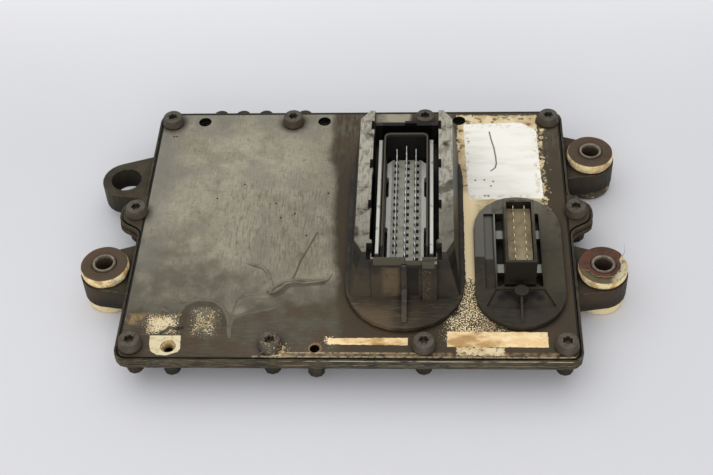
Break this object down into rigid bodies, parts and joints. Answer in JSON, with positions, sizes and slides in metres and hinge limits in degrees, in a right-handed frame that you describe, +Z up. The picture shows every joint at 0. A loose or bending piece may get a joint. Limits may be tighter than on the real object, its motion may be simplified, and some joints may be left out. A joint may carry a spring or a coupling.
{
  "type": "engine control unit",
  "caption": "Engine control unit: screwed die-cast case with a flat cover, two upright connector headers and rubber-mounted side lugs, worn and stained.",
  "frame": {"origin": "on the flat underside of the tub, below the middle of the cover plate", "axes": "+X to the right along the long side, +Y to the rear, +Z up out of the cover"},
  "size_m": [0.288, 0.189, 0.054],
  "materials": {
    "casting": "die-cast, dark with oily dirt",
    "cover": "flat plate, dusty grey with dried brown deposits",
    "gasket": "matt black",
    "screw": "blackened steel, dirty",
    "connector_plastic": "glass-filled, dusty on its upper faces",
    "carrier_grey": "matt grey, with tinned contact blades",
    "insert_tan": "translucent tan, with tinned contact blades",
    "bush_rubber": "cream rubber, dark brown on its upper face",
    "sleeve_steel": "dull zinc-plated steel",
    "board": "green laminate",
    "chip": "moulded resin",
    "can": "drawn can",
    "ferrite": "sintered ferrite block",
    "pad": "soft grey pad"
  },
  "bodies": {
    "root": {"base_casting": "casting", "board_screw_1": "sleeve_steel", "board_screw_2": "sleeve_steel", "board_screw_3": "sleeve_steel", "board_screw_4": "sleeve_steel", "board_screw_5": "sleeve_steel", "board_screw_6": "sleeve_steel", "capacitor_1": "can", "capacitor_2": "can", "capacitor_3": "can", "circuit_board": "board", "coil_1": "ferrite", "coil_2": "ferrite", "connector_16_housing": "connector_plastic", "connector_16_seal": "gasket", "connector_55_housing": "connector_plastic", "connector_55_seal": "gasket", "cover_gasket": "gasket", "cover_plate": "cover", "cover_screw_1": "screw", "cover_screw_10": "screw", "cover_screw_2": "screw", "cover_screw_3": "screw", "cover_screw_4": "screw", "cover_screw_5": "screw", "cover_screw_6": "screw", "cover_screw_7": "screw", "cover_screw_8": "screw", "cover_screw_9": "screw", "front_left_bush": "bush_rubber", "front_left_sleeve": "sleeve_steel", "front_right_bush": "bush_rubber", "front_right_sleeve": "sleeve_steel", "heat_pad": "pad", "memory_chip": "chip", "pin_carrier_16": "insert_tan", "pin_carrier_55": "carrier_grey", "power_driver_1": "chip", "power_driver_2": "chip", "power_driver_3": "chip", "power_driver_4": "chip", "power_driver_5": "chip", "power_driver_6": "chip", "processor": "chip", "rear_right_bush": "bush_rubber", "rear_right_sleeve": "sleeve_steel"}
  },
  "joints": []
}
